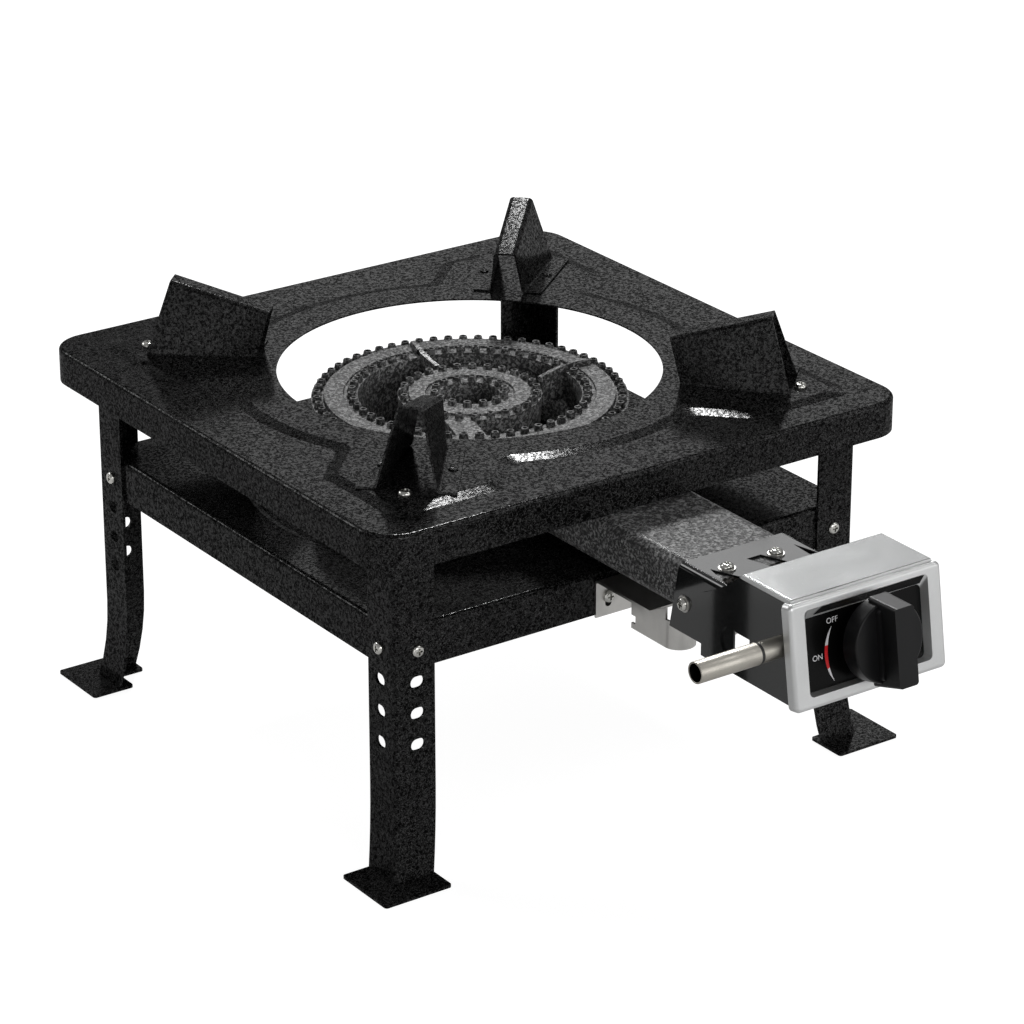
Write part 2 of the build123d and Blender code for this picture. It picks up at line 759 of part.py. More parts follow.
def make_tube_bracket():
    """Wall plate on the tray, shelf under the tube's foot, cheeks with curled front edges."""
    wall = leg_inner
    half = bracket_half_width
    profile = [
        (-wall, bracket_base),
        (-wall, bracket_shelf),
        (-bracket_shelf_front, bracket_shelf),
    ]
    outer = FilletPolyline(*profile, radius=bracket_sheet * 2)
    plate = make_face(offset(outer, amount=bracket_sheet, side=Side.LEFT))
    bracket = Pos(-half) * extrude(Plane.YZ * plate, 2 * half)
    cheek_outline = make_face(
        Polyline(
            (-bracket_cheek_rear, bracket_cheek_base),
            (-bracket_cheek_rear, bracket_shelf),
            (-bracket_shelf_front, bracket_shelf),
            (-bracket_cheek_front, bracket_ear_top),
            (-bracket_cheek_front, bracket_cheek_base),
            close=True,
        )
    )
    cheek = Pos(-half) * extrude(Plane.YZ * cheek_outline, bracket_sheet)
    notch = Pos(-half, -bracket_cheek_rear - 1.5, bracket_cheek_base + 6) * Box(8, 5, 5)
    cheek -= notch
    curl_path = ThreePointArc(
        (-half, -bracket_cheek_front),
        (-half + bracket_curl_radius, -bracket_cheek_front - bracket_curl_radius),
        (-half + 2 * bracket_curl_radius, -bracket_cheek_front),
    )
    curl_face = make_face(offset(curl_path, amount=bracket_sheet, side=Side.LEFT))
    cheek += Pos(0, 0, bracket_cheek_base) * extrude(
        curl_face, bracket_shelf - bracket_cheek_base
    )
    bracket += cheek
    bracket += mirror(cheek, Plane.YZ)
    slot = Rot(0, 0, 90) * SlotOverall(bracket_slot_length, bracket_slot_width)
    for side in (-1, 1):
        bracket -= extrude(
            Plane(
                origin=(side * bracket_slot_offset, -wall + 1, bracket_slot_height),
                x_dir=(1, 0, 0),
                z_dir=(0, -1, 0),
            )
            * slot,
            bracket_sheet + 2,
        )
    bracket -= Pos(0, -tube_foot_distance) * upright_cylinder(
        screw_radius + hole_gap, bracket_shelf - 5, bracket_shelf + 5
    )
    return bracket


def make_tube_cover():
    """The folded channel that clasps the front of the mixing tube."""
    length = cover_front - cover_rear_bottom
    section = sheet_face(
        [
            (cover_outer, cover_base),
            (cover_outer, cover_top),
            (-cover_outer, cover_top),
            (-cover_outer, cover_base),
        ],
        cover_fold_radius,
        cover_sheet,
    )
    cover = extrude(Plane(origin=(0, -cover_front, 0), x_dir=(1, 0, 0), z_dir=(0, -1, 0)) * section, -length)
    rake = make_face(
        Polyline(
            (-cover_rear_bottom + 1, cover_base),
            (-cover_rear_bottom, cover_base),
            (-cover_rear_top + 2, cover_top - cover_fold_radius),
            (-cover_rear_top, cover_top + 1),
            (-cover_rear_bottom + 1, cover_top + 1),
            close=True,
        )
    )
    cover -= Pos(-cover_outer - 1) * extrude(Plane.YZ * rake, 2 * cover_outer + 2)
    # vents in the top: a slanted slot between two wedges
    rear = -cover_vent_rear
    front = rear - vent_length
    for place, width, front_place, front_width in zip(
        vent_rear_places, vent_rear_widths, vent_front_places, vent_front_widths
    ):
        vent = make_face(
            Polyline(
                (place, rear),
                (place + width, rear),
                (front_place + front_width, front),
                (front_place, front),
                close=True,
            )
        )
        cover -= Pos(0, 0, cover_under - 1) * extrude(vent, cover_sheet + 2)
    for offset_x in cover_screw_offsets:
        cover -= Pos(offset_x, -cover_screw_distance) * upright_cylinder(
            screw_radius + hole_gap, cover_under - 1, cover_top + 1
        )
    side_hole = Plane(origin=(0, -side_screw_distance, side_screw_height), z_dir=(1, 0, 0)) * Circle(
        screw_radius + hole_gap
    )
    cover -= extrude(side_hole, 2 * cover_outer, both=True)
    return cover


def face_line_distance(height, depth):
    """How far forward the leaning face lies at a height, measured a depth behind it."""
    lean = math.radians(face_angle)
    return face_distance - depth / math.cos(lean) - (height - face_height) * math.tan(lean)


def housing_profile(inset):
    """The housing's side outline, drawn in by the inset, with an open bottom when inset."""
    front = bezel_depth + slip_gap / 2 + inset
    base = housing_base if inset == 0 else housing_base - 1
    crest = housing_crest - inset
    rear = -housing_rear + (-inset)
    middle_y = -(housing_rear + housing_crest_distance) / 2
    middle_z = (housing_shoulder + housing_crest) / 2 - housing_slope_sag - inset
    slope = ThreePointArc(
        (rear, housing_shoulder - inset), (middle_y, middle_z), (-housing_crest_distance, crest)
    )
    outline = [
        Line((rear, base), (rear, housing_shoulder - inset)),
        slope,
        Line((-housing_crest_distance, crest), (-face_line_distance(crest, front), crest)),
        Line((-face_line_distance(crest, front), crest), (-face_line_distance(base, front), base)),
        Line((-face_line_distance(base, front), base), (rear, base)),
    ]
    return Plane.YZ * make_face(outline)


def make_valve_housing():
    """The open-bottomed box behind the bezel, its roof swept down over the tube cover."""
    width = housing_left + housing_right
    outside = Pos(-housing_left) * extrude(housing_profile(0), width)
    inside = Pos(-housing_left + housing_sheet) * extrude(
        housing_profile(housing_sheet), width - 2 * housing_sheet
    )
    housing = outside - inside
    # the cover's channel comes in through the rear wall and the roof's slope
    housing -= Pos(-cover_outer, -housing_crest_distance, housing_base - 2) * Box(
        2 * cover_outer,
        housing_crest_distance - cover_rear_bottom,
        housing_crest,
        align=Align.MIN,
    )
    hole = Plane(origin=(-housing_left - 1, -sight_hole_distance, sight_hole_height), z_dir=(1, 0, 0)) * Circle(
        sight_hole_radius
    )
    housing -= extrude(hole, housing_sheet + 2)
    housing -= Pos(-housing_left - 1, -sight_slot_front, sight_slot_base) * Box(
        housing_sheet + 2,
        sight_slot_front - sight_hole_distance,
        sight_slot_top - sight_slot_base,
        align=Align.MIN,
    )
    inlet = Plane(origin=(-housing_left - 1, -inlet_distance, inlet_height), z_dir=(1, 0, 0)) * Circle(
        inlet_neck_radius + hole_gap
    )
    housing -= extrude(inlet, housing_sheet + 2)
    neck = face_plane.offset(-bezel_depth - 10) * Pos(knob_center) * Circle(neck_radius + hole_gap)
    housing -= extrude(neck, 12)
    for x in bezel_screw_places():
        hole = face_plane.offset(-bezel_depth - 5) * Pos(x) * Circle(bezel_screw_radius + hole_gap)
        housing -= extrude(hole, 8)
    return housing


def bezel_screw_places():
    """Across the housing, just inside its two side walls."""
    inset = housing_sheet + bezel_screw_head_radius + fold_gap
    return -housing_left + inset, housing_right - inset


def make_bezel():
    """The cast frame round the dial and the hood behind it."""
    rim = Pos(bezel_center) * RectangleRounded(bezel_width, bezel_height, bezel_round + 1)
    frame = extrude(face_plane * rim, -bezel_depth)
    frame = fillet(front_edges(frame), bezel_round)
    window_middle = (window_top + window_bottom) / 2
    dial_middle = (dial_top + dial_bottom) / 2
    window = loft(
        [
            face_plane * Pos(bezel_center, window_middle)
            * RectangleRounded(window_width, window_top - window_bottom, 3),
            face_plane.offset(-window_depth) * Pos(bezel_center, dial_middle)
            * RectangleRounded(dial_width, dial_top - dial_bottom, 3),
        ],
        ruled=True,
    )
    frame -= window
    pocket = face_plane.offset(-window_depth) * Pos(bezel_center, dial_middle) * dial_outline(running_gap)
    frame -= extrude(pocket, -(bezel_depth - window_depth + 1))
    # the hood: a flat top with lips on its rear and side edges
    lean_top = face_line_distance(hood_top, bezel_depth / 2)
    lean_under = face_line_distance(hood_top - hood_sheet, bezel_depth / 2)
    side = make_face(
        Polyline(
            (-hood_rear, hood_top),
            (-lean_top, hood_top),
            (-lean_under, hood_top - hood_sheet),
            (-hood_rear, hood_top - hood_sheet),
            close=True,
        )
    )
    hood = Pos(-hood_left) * extrude(Plane.YZ * side, hood_left + hood_right)
    top_edges = hood.edges().filter_by(Axis.Y).group_by(Axis.Z)[-1] + hood.edges().filter_by(Axis.X).group_by(
        Axis.Y
    )[-1].sort_by(Axis.Z)[-1:]
    hood = fillet(top_edges, 1.2)
    bezel = frame + hood
    for x in bezel_screw_places():
        hole = face_plane.offset(-bezel_depth - 1) * Pos(x) * Circle(bezel_screw_radius + running_gap)
        bezel -= extrude(hole, bezel_screw_reach + 1.2)
    return bezel


def height_above_face(shape):
    """How far a face or edge lies in front of the bezel's face."""
    return (shape.center() - face_plane.origin).dot(face_plane.z_dir)


def front_edges(frame):
    """Edges of a block's front face on the leaning plane."""
    return max(frame.faces(), key=height_above_face).edges()


def dial_outline(gap):
    return RectangleRounded(
        dial_width + 2 * (dial_margin + gap), dial_top - dial_bottom + 2 * (dial_margin + gap), 2
    )


def make_dial_panel():
    middle = (dial_top + dial_bottom) / 2
    panel = face_plane.offset(-window_depth) * Pos(bezel_center, middle) * dial_outline(0)
    panel = extrude(panel, -dial_sheet)
    neck = face_plane.offset(-window_depth - dial_sheet - 1) * Pos(knob_center) * Circle(neck_radius + hole_gap)
    return panel - extrude(neck, dial_sheet + 2)


def on_axis(place):
    """The plane square to the knob's axis, a distance in front of the bezel's face."""
    return face_plane.offset(place) * Pos(knob_center)


def make_knob():
    """A drafted skirt with a tall grip bar, and a hub that reaches over the valve's neck."""
    skirt = extrude(on_axis(knob_back) * Circle(knob_radius + knob_skirt_draft / 2), knob_face - knob_back, taper=4)
    skirt = fillet(skirt.edges().sort_by(height_above_face)[-1], 1.0)
    foot = extrude(
        on_axis(knob_face - 1) * RectangleRounded(grip_foot_width, 2 * knob_radius - 5, 3), grip_foot_height + 1,
        taper=12,
    )
    grip = loft(
        [
            on_axis(knob_back + 3) * RectangleRounded(grip_width, grip_length + 2 * grip_draft, 2),
            on_axis(knob_front) * RectangleRounded(grip_width - 0.8, grip_length, 2),
        ],
        ruled=True,
    )
    hub = extrude(on_axis(hub_back) * Circle(hub_radius), knob_back - hub_back + 1)
    recess = extrude(on_axis(hub_back - 1) * Circle(neck_radius + 1.2), knob_back + 3 - hub_back)
    bore = extrude(on_axis(hub_back - 1) * Circle(stem_radius + running_gap), stem_front - hub_back + 1)
    return skirt + foot + grip + hub - recess - bore


def make_stem():
    """The stem: a round bar with a tongue at its rear and a collar for the spring."""
    rear = plug_front + slip_gap + knob_travel + spring_length
    bar = extrude(on_axis(rear) * Circle(stem_radius), stem_front - rear)
    collar = extrude(on_axis(rear) * Circle(stem_collar_radius), stem_collar_length)
    tongue = extrude(
        on_axis(plug_front - tongue_length + knob_travel + slip_gap)
        * RectangleRounded(tongue_width, tongue_height, 0.5),
        rear - plug_front + tongue_length - knob_travel - slip_gap + 1,
    )
    return bar + collar + tongue


def make_plug():
    """The turning plug: a gas way across it and a slot that drives it from the stem."""
    plug = extrude(on_axis(plug_front) * Circle(plug_radius - running_gap), -plug_length)
    slot = on_axis(plug_front + 1) * RectangleRounded(
        tongue_width + 4 * running_gap, tongue_height + 4 * running_gap, 0.5
    )
    plug -= extrude(slot, -(tongue_length + 1))
    return plug


def make_valve_body():
    """The tap: a barrel on the knob's axis, an inlet boss and the jet manifold."""
    shoulder = valve_shoulder
    manifold_middle = manifold_rear + manifold_depth / 2
    valve_length = (face_distance - manifold_middle) / math.cos(math.radians(face_angle)) + shoulder
    barrel = extrude(on_axis(shoulder) * Circle(valve_radius), -valve_length)
    neck = extrude(on_axis(shoulder - 1) * Circle(neck_radius), neck_front - shoulder + 1)
    body = barrel + neck
    boss = Plane(origin=(-inlet_boss_end, -inlet_distance, inlet_height), z_dir=(1, 0, 0)) * Circle(
        inlet_boss_radius
    )
    body += extrude(boss, inlet_boss_end + knob_center)
    manifold = Pos(0, -manifold_middle, bore_height) * Box(
        manifold_width, manifold_depth, manifold_depth
    )
    body += fillet(manifold.edges().filter_by(Axis.X), 2)
    # bores: the stem's way, the spring chamber, the plug's seat and the inlet's socket
    stem_way = extrude(on_axis(neck_front + 1) * Circle(stem_radius + running_gap), plug_front - neck_front - 1)
    chamber = extrude(on_axis(shoulder - valve_wall) * Circle(plug_radius), -chamber_length)
    seat = extrude(on_axis(plug_front) * Circle(plug_radius), -plug_length)
    socket = Plane(origin=(-inlet_boss_end - 1, -inlet_distance, inlet_height), z_dir=(1, 0, 0)) * Circle(
        inlet_neck_radius + running_gap
    )
    return body - stem_way - chamber - seat - extrude(socket, inlet_engagement + 1)


def make_spring():
    """The stem's return spring, seated against the stem's collar."""
    rise = spring_length - spring_wire
    pitch = rise / spring_turns
    helix = Helix(pitch=pitch, height=rise, radius=spring_radius)
    wire = sweep(Plane(origin=helix @ 0, z_dir=helix % 0) * RegularPolygon(spring_wire / 2, 6), path=helix)
    start = plug_front + slip_gap + knob_travel + spring_wire / 2
    return on_axis_location(start) * wire


def on_axis_location(place):
    return Location(face_plane.offset(place)) * Pos(knob_center)


def make_jet(side):
    """A hexagon jet screwed to the manifold, blowing into a mixing bore."""
    plane = Plane(origin=(side * mixing_bore_offset, -manifold_rear, bore_height), z_dir=(0, 1, 0))
    body = extrude(plane * RegularPolygon(jet_flats / 2, 6, major_radius=False), jet_length * 0.55)
    nose = extrude(plane.offset(jet_length * 0.5) * Circle(jet_flats * 0.36), jet_length * 0.5, taper=12)
    return body + nose - extrude(plane * Circle(jet_bore_radius), jet_length + 1)


def make_gas_inlet():
    """The hose nipple, with a narrower neck behind its seal."""
    plane = Plane(origin=(-inlet_end, -inlet_distance, inlet_height), z_dir=(1, 0, 0))
    hose_end = extrude(plane * Circle(inlet_radius), inlet_end - inlet_step)
    hose_end = chamfer(hose_end.edges().sort_by(Axis.X)[0], 0.8)
    inner_end = inlet_end - inlet_boss_end + inlet_engagement
    neck = extrude(plane * Circle(inlet_neck_radius), inner_end)
    seat = plane.offset(inlet_end - inlet_step - inlet_seal_width)
    groove = extrude(seat * (Circle(inlet_radius + 1) - Circle(inlet_radius - 1.2)), inlet_seal_width)
    return hose_end + neck - extrude(plane * Circle(inlet_bore_radius), inner_end) - groove


def make_inlet_seal():
    plane = Plane(
        origin=(-inlet_step - inlet_seal_width, -inlet_distance, inlet_height), z_dir=(1, 0, 0)
    )
    return extrude(plane * (Circle(inlet_seal_radius) - Circle(inlet_radius - 1.2)), inlet_seal_width)


def save(name, shape):
    """Write one node; a list of equal pieces becomes one node of separate solids."""
    pieces = shape if isinstance(shape, list) else [shape]
    solids = [solid for piece in pieces for solid in piece.solids()]
    target = solids[0] if len(solids) == 1 else Compound(children=solids)
    export_step(target, f"parts/{name}.step")


os.makedirs("parts", exist_ok=True)

save("top_plate", make_top_plate())
save("tray", make_tray())

support = make_pot_support()
leg = make_leg()
for name, turn in zip(("rear_right", "rear_left", "front_left", "front_right"), quarter_turns):
    save(f"pot_support_{name}", Rot(0, 0, 45 + turn) * support)
    save(f"leg_{name}", Rot(0, 0, turn) * leg)

rivet = make_rivet()
along, across = rivet_place(1)
save(
    "support_rivets",
    [
        Rot(0, 0, 45 + turn) * Pos(along, side * across, ring_top + support_sheet) * rivet
        for turn in quarter_turns
        for side in (-1, 1)
    ],
)

tab_under = ring_under - leg_sheet
plate_screw = pan_screw(
    screw_radius, screw_head_radius, screw_head_height, ring_top - tab_under + screw_nut_height + 1
)
screw_nut = hex_nut(screw_nut_flats, screw_nut_height, screw_radius + running_gap)
plate_screw_places = [(i * plate_screw_place, j * plate_screw_place) for i, j in corner_signs]
save("plate_screws", [Pos(x, y, ring_top) * plate_screw for x, y in plate_screw_places])
save("plate_nuts", [Pos(x, y, tab_under - screw_nut_height) * screw_nut for x, y in plate_screw_places])

# two screws on each leg, out of its faces and through the tray's wall
leg_grip = leg_sheet + tray_sheet
leg_screw = pan_screw(
    screw_radius, screw_head_radius, screw_head_height, leg_grip + screw_nut_height + 1
)
leg_screws = []
leg_nuts = []
for turn in quarter_turns:
    for place in (leg_hole_place, -leg_hole_place):
        spot = Rot(0, 0, turn) * Pos(place, leg_outer, leg_screw_height) * Rot(-90, 0, 0)
        leg_screws.append(spot * leg_screw)
        leg_nuts.append(spot * Pos(0, 0, -leg_grip - screw_nut_height) * screw_nut)
save("leg_screws", leg_screws)
save("leg_nuts", leg_nuts)

save("burner_head", make_burner_head())
save("mixing_casting", make_mixer())

burner_bolt = hex_bolt(tray_sheet + burner_bolt_grip - 1)
save("burner_bolts", [place * burner_bolt for place in burner_foot_places(burner_seat_under)])

save("tube_bracket", make_tube_bracket())
bracket_screw = pan_screw(
    screw_radius, screw_head_radius, screw_head_height, bracket_sheet + tray_sheet + screw_nut_height + 1
)
bracket_spots = [
    Pos(side * bracket_slot_offset, -leg_inner - bracket_sheet, bracket_screw_height) * Rot(90, 0, 0)
    for side in (-1, 1)
]
save("bracket_screws", [spot * bracket_screw for spot in bracket_spots])
save(
    "bracket_nuts",
    [spot * Pos(0, 0, -bracket_sheet - tray_sheet - screw_nut_height) * screw_nut for spot in bracket_spots],
)
foot_screw = pan_screw(
    screw_radius, screw_head_radius, screw_head_height, bracket_sheet + tube_foot_height - 4 * screw_radius
)
save(
    "tube_foot_screw",
    Pos(0, -tube_foot_distance, bracket_shelf - bracket_sheet) * Rot(180, 0, 0) * foot_screw,
)

save("tube_cover", make_tube_cover())
save("valve_housing", make_valve_housing())
save("bezel", make_bezel())
save("dial_panel", make_dial_panel())

bezel_screw = pan_screw(
    bezel_screw_radius, bezel_screw_head_radius, bezel_screw_head_radius * 0.6, housing_sheet + bezel_screw_reach
)
bezel_screw_seat = valve_shoulder
save(
    "bezel_screws",
    [
        Location(face_plane.offset(bezel_screw_seat)) * Pos(x) * Rot(180, 0, 0) * bezel_screw
        for x in bezel_screw_places()
    ],
)

cover_screw = pan_screw(
    screw_radius, screw_head_radius, screw_head_height, washer_sheet + cover_sheet + mixer_wall - 0.5
)
washer = extrude(Circle(washer_radius) - Circle(screw_radius + hole_gap), washer_sheet)
cover_spots = [Pos(x, -cover_screw_distance, cover_top) for x in cover_screw_offsets]
cover_spots += [
    Pos(side * cover_outer, -side_screw_distance, side_screw_height) * Rot(0, side * 90, 0) for side in (-1, 1)
]
save("cover_screws", [spot * Pos(0, 0, washer_sheet) * cover_screw for spot in cover_spots])
save("cover_washers", [spot * washer for spot in cover_spots])

save("knob", make_knob())
save("valve_stem", make_stem())
save("valve_plug", make_plug())
save("valve_body", make_valve_body())
save("stem_spring", make_spring())
valve_nut = hex_nut(nut_flats, nut_height, neck_radius + running_gap)
save("valve_nut", on_axis_location(-window_depth) * valve_nut)
save("jets", [make_jet(side) for side in (-1, 1)])
save("gas_inlet", make_gas_inlet())
save("inlet_seal", make_inlet_seal())
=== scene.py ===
import bmesh
import bpy
import json
import math
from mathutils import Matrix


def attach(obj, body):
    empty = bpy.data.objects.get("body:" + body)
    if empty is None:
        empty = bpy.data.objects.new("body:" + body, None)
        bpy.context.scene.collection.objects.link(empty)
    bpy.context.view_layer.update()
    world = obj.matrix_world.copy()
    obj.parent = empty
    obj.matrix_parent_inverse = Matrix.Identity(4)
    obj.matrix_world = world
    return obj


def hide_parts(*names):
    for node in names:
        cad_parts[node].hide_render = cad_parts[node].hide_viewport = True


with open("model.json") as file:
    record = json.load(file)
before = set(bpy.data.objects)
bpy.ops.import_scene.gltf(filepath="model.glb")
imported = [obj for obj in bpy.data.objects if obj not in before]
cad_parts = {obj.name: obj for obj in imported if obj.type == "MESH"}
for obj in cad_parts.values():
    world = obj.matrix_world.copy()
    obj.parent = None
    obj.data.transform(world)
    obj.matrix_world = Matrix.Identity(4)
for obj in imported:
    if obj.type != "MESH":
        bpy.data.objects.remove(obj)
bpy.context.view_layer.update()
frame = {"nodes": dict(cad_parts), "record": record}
nodes = frame["nodes"]
print("frame loaded:", len(nodes), "nodes")


# a shader socket that adds, multiplies and compares as a number does
class Wire:
    def __init__(self, tree, socket):
        self.tree = tree
        self.socket = socket

    def node(self, kind, settings, inputs, output=0):
        new = self.tree.nodes.new(kind)
        for key, value in settings.items():
            setattr(new, key, value)
        for key, value in inputs.items():
            spot = new.inputs[key]
            if isinstance(value, Wire):
                self.tree.links.new(value.socket, spot)
            elif isinstance(value, tuple) and spot.type == "RGBA":
                spot.default_value = (*value, 1.0)
            else:
                spot.default_value = value
        return Wire(self.tree, new.outputs[output])

    def maths(self, operation, first, second=0.0):
        return self.node("ShaderNodeMath", {"operation": operation}, {0: first, 1: second})

    def __add__(self, other):
        return self.maths("ADD", self, other)

    def __radd__(self, other):
        return self.maths("ADD", other, self)

    def __sub__(self, other):
        return self.maths("SUBTRACT", self, other)

    def __rsub__(self, other):
        return self.maths("SUBTRACT", other, self)

    def __mul__(self, other):
        return self.maths("MULTIPLY", self, other)

    def __rmul__(self, other):
        return self.maths("MULTIPLY", other, self)

    def __gt__(self, other):
        return self.maths("GREATER_THAN", self, other)

    def __lt__(self, other):
        return self.maths("LESS_THAN", self, other)

    def most(self, other):
        return self.maths("MAXIMUM", self, other)

    def unsigned(self):
        return self.maths("ABSOLUTE", self)

    def nearest(self):
        return self.maths("ROUND", self)

    def away(self, other):  # distance of the point (self, other) from zero
        return self.maths("SQRT", self * self + other * other)

    def angle(self, other):  # turn of the point (self, other) from the X axis
        return self.maths("ARCTAN2", other, self)

    # low to high comes out as start to end, with soft shoulders
    def between(self, low, high, start=0.0, end=1.0):
        return self.node(
            "ShaderNodeMapRange",
            {"interpolation_type": "SMOOTHSTEP"},
            {"Value": self, "From Min": low, "From Max": high, "To Min": start, "To Max": end},
        )

    def blend(self, first, second):
        return self.node("ShaderNodeMix", {"data_type": "RGBA"}, {0: self, 6: first, 7: second}, 2)

    def part(self, letter):
        return self.node("ShaderNodeSeparateXYZ", {}, {0: self}, "XYZ".index(letter))

    def noise(self, scale, detail=2.0, roughness=0.5, distortion=0.0):
        return self.node("ShaderNodeTexNoise", {}, {
            "Vector": self, "Scale": scale, "Detail": detail, "Roughness": roughness,
            "Distortion": distortion,
        })

    def bump(self, strength, distance):
        return self.node("ShaderNodeBump", {}, {
            "Height": self, "Strength": strength, "Distance": distance,
        })

    # 1 where the camera or a glass sees the surface, and the share where a mirror does
    def seen(self, mirrorShare):
        kinds = ("Is Camera Ray", "Is Glossy Ray", "Is Transmission Ray")
        direct, mirrored, through = (self.node("ShaderNodeLightPath", {}, {}, kind) for kind in kinds)
        return direct.most(mirrored * mirrorShare).most(through)


def newMaterial(name, **fixed):
    material = bpy.data.materials.new(name)
    material.use_nodes = True
    surface = material.node_tree.nodes["Principled BSDF"]
    for key, value in fixed.items():
        surface.inputs[key.replace("_", " ")].default_value = value
    coords = material.node_tree.nodes.new("ShaderNodeTexCoord")
    return material, surface, Wire(material.node_tree, coords.outputs["Object"])


def connect(surface, **wires):
    for key, wire in wires.items():
        wire.tree.links.new(wire.socket, surface.inputs[key.replace("_", " ")])


def grey(level):
    return (level, level, level)


# near-black enamel with grey worm-like flecks, under a glaze that shines in patches
def fleckedEnamel(name, size):
    material, surface, place = newMaterial(name, Specular_IOR_Level=size["gloss"], Coat_Roughness=0.15)
    fleck = place.noise(size["scale"], detail=3.0, roughness=0.6, distortion=0.9)
    fine = place.noise(size["scale"] * size["fineShare"], roughness=0.6)
    drift = place.noise(size["scale"] * size["driftShare"])
    worm = (fleck - 0.5).unsigned().between(*size["wormMask"])
    amount = worm * drift.between(*size["driftMask"]) * fine.between(*size["fineMask"])
    glaze = place.noise(size["scale"] * size["glazeShare"], roughness=0.6, distortion=0.5)
    connect(
        surface,
        Base_Color=amount.blend(grey(size["dark"]), grey(size["light"])),
        Roughness=amount.between(0.0, 1.0, size["rough"], size["rough"] * 0.75),
        Coat_Weight=glaze.between(*size["glazeMask"]) * size["glaze"],
        Normal=(amount * 0.5 + fleck * 0.6 + fine * 0.4).bump(1.0, size["bump"]),
    )
    return material


enamel = fleckedEnamel("enamel", {
    "scale": 460, "fineShare": 2.6, "driftShare": 0.04, "glazeShare": 1.2,
    "wormMask": (0.01, 0.06, 1.0, 0.0), "driftMask": (0.3, 0.7, 0.7, 1.0),
    "fineMask": (0.38, 0.55, 0.15, 1.0), "glazeMask": (0.47, 0.56, 0.16, 1.0),
    "dark": 0.0015, "light": 0.075, "rough": 0.3, "bump": 0.0003, "gloss": 0.0, "glaze": 0.34,
})


# painted shade: a black port and a darker top on each boss of a row round the burner's axis, for the
# shade in the holes, which are not modelled, and round the bosses
def portRow(radius, turn, z, size, row):
    step = turn * (row["count"] / (2 * math.pi))
    along = (step - step.nearest()) * (2 * math.pi * row["radius"] / row["count"])
    away = along.away(radius - row["radius"])
    hole = away.between(size["port"] - size["portBlur"], size["port"] + size["portBlur"], 1.0, 0.0)
    boss = away.between(size["boss"], size["boss"] + size["bossBlur"], size["bossShade"], 0.0)
    return hole.most(boss) * (z > row["low"]) * (z < row["low"] + size["reach"])


# grey cast iron under the same glaze, with the burner's ports painted black on its bosses as painted
# shade
def castEnamel(name, size, rows):
    material, surface, place = newMaterial(name, Specular_IOR_Level=size["gloss"], Coat_Roughness=0.3)
    fleck = place.noise(size["scale"], detail=3.0, roughness=0.62, distortion=0.6)
    glaze = place.noise(size["scale"] * size["glazeShare"], roughness=0.6, distortion=0.5)
    pits = place.noise(size["scale"] * size["pitShare"])
    amount = fleck.between(*size["fleckMask"]) * pits.between(*size["pitMask"])
    x, y, z = place.part("X"), place.part("Y"), place.part("Z")
    radius, turn = x.away(y), x.angle(y)
    portShade = portRow(radius, turn, z, size, rows[0])
    for row in rows[1:]:
        portShade = portShade.most(portRow(radius, turn, z, size, row))
    shade = amount.blend(grey(size["dark"]), grey(size["light"]))
    rough = amount.between(0.0, 1.0, size["rough"], size["rough"] * 0.8)
    connect(
        surface,
        # painted shade: ports go near black and boss tops darker, with full roughness and no glaze there
        Base_Color=portShade.blend(shade, grey(size["bore"])),
        Roughness=rough * (1 - portShade) + portShade,
        Coat_Weight=glaze.between(*size["glazeMask"]) * (1 - portShade) * size["glaze"],
        Normal=(fleck * 0.7 + pits).bump(1.0, size["bump"]),
    )
    return material


casting = castEnamel(
    "casting",
    {
        "scale": 520, "glazeShare": 0.9, "pitShare": 0.35,
        "fleckMask": (0.45, 0.62), "pitMask": (0.3, 0.65, 0.5, 1.0), "glazeMask": (0.44, 0.58, 0.1, 1.0),
        "dark": 0.05, "light": 0.36, "rough": 0.36, "bump": 0.0005, "gloss": 0.03, "glaze": 0.34,
        "port": 0.0014, "portBlur": 0.00035, "boss": 0.0031, "bossBlur": 0.00031, "reach": 0.005,
        # painted shade: the darkening of the boss tops and the near-black colour of the ports
        "bossShade": 0.2, "bore": 0.002,
    },
    [
        {"radius": 0.0939, "count": 62, "low": 0.2115},
        {"radius": 0.0725, "count": 48, "low": 0.2129},
        {"radius": 0.0412, "count": 27, "low": 0.2129},
        {"radius": 0.0218, "count": 14, "low": 0.2129},
    ],
)


# smooth paint, print or plastic with a slight orange peel
def glossPaint(name, colour, rough, peel, coat=0.0, gloss=0.5):
    material, surface, place = newMaterial(
        name, Coat_Weight=coat, Coat_Roughness=0.06, Specular_IOR_Level=gloss
    )
    tone = place.noise(14, detail=3.0, roughness=0.55).between(0.3, 0.7)
    darker = tuple(value * 0.8 for value in colour)
    connect(
        surface,
        Base_Color=tone.blend(darker, colour),
        Roughness=tone.between(0.0, 1.0, rough * 0.85, rough * 1.15),
        Normal=place.noise(420, detail=1.0, roughness=0.4).bump(0.25, peel),
    )
    return material


blackPaint = glossPaint("blackPaint", (0.01, 0.011, 0.011), 0.16, 0.0001, coat=0.85, gloss=0.1)
knobPlastic = glossPaint("knobPlastic", (0.005, 0.005, 0.0055), 0.36, 0.00005, gloss=0.2)
dialBlack = glossPaint("dialBlack", (0.003, 0.003, 0.003), 0.25, 0.00003, gloss=0.1)
rubber = glossPaint("rubber", (0.012, 0.012, 0.012), 0.6, 0.0001)
printWhite = glossPaint("printWhite", (0.85, 0.84, 0.86), 0.4, 0.00001)
printRed = glossPaint("printRed", (0.72, 0.015, 0.02), 0.4, 0.00001)
